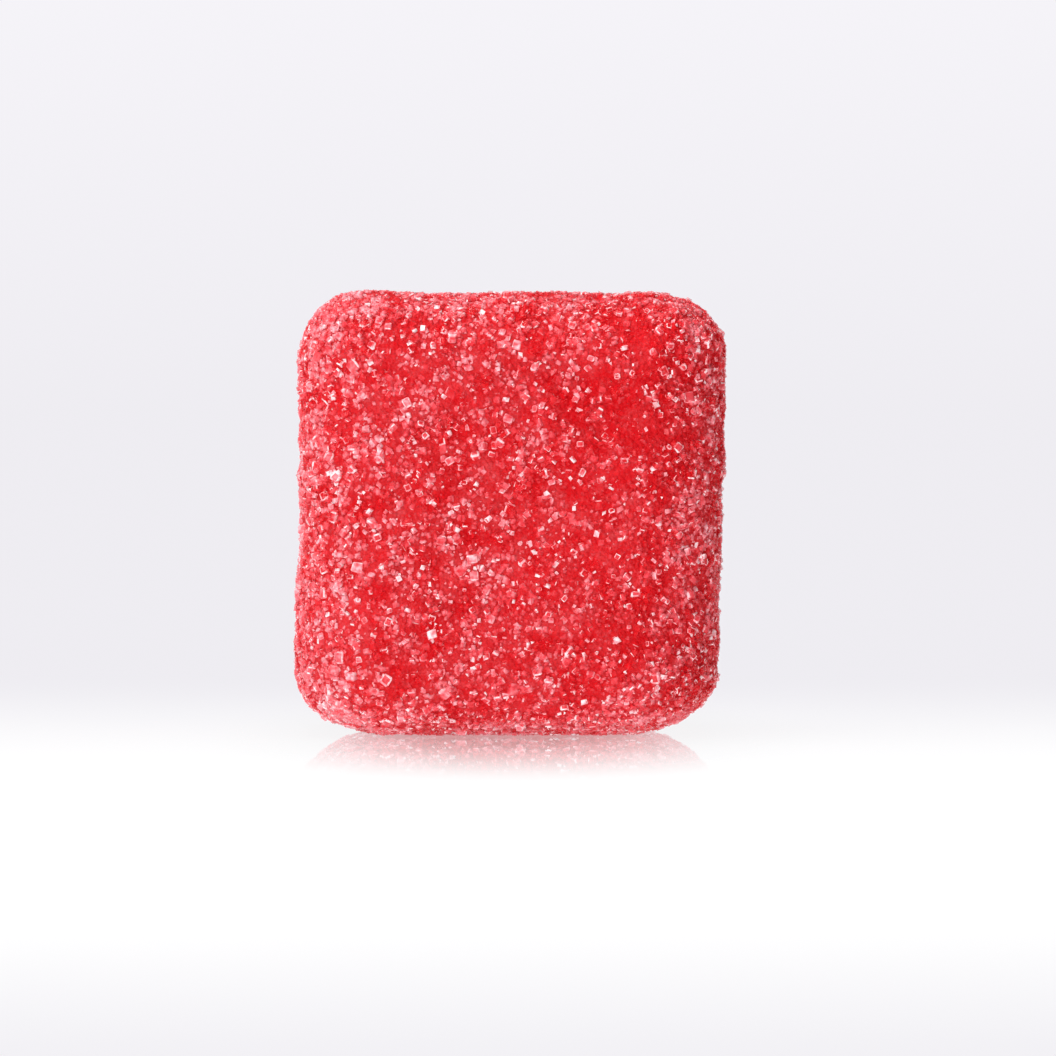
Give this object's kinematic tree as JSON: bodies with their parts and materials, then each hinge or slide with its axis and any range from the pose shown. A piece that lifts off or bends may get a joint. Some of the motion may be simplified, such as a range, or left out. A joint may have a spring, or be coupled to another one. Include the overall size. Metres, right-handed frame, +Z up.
{
  "type": "gummy",
  "caption": "Cube-shaped fruit jelly sweet with rounded edges, coated all over in a crust of sugar crystals.",
  "frame": {"origin": "under the middle of the gummy's bounding box, on the surface that it stands on", "axes": "+Z up, along the longest side; the front, as pictured, faces -Y; +X to the right of it"},
  "size_m": [0.0176, 0.017, 0.018],
  "materials": {
    "jelly": "translucent red jelly with a frosted surface",
    "sugar": "clear sugar crystals that take the red of the jelly under them"
  },
  "bodies": {
    "root": {"gummy": "jelly"}
  },
  "joints": []
}
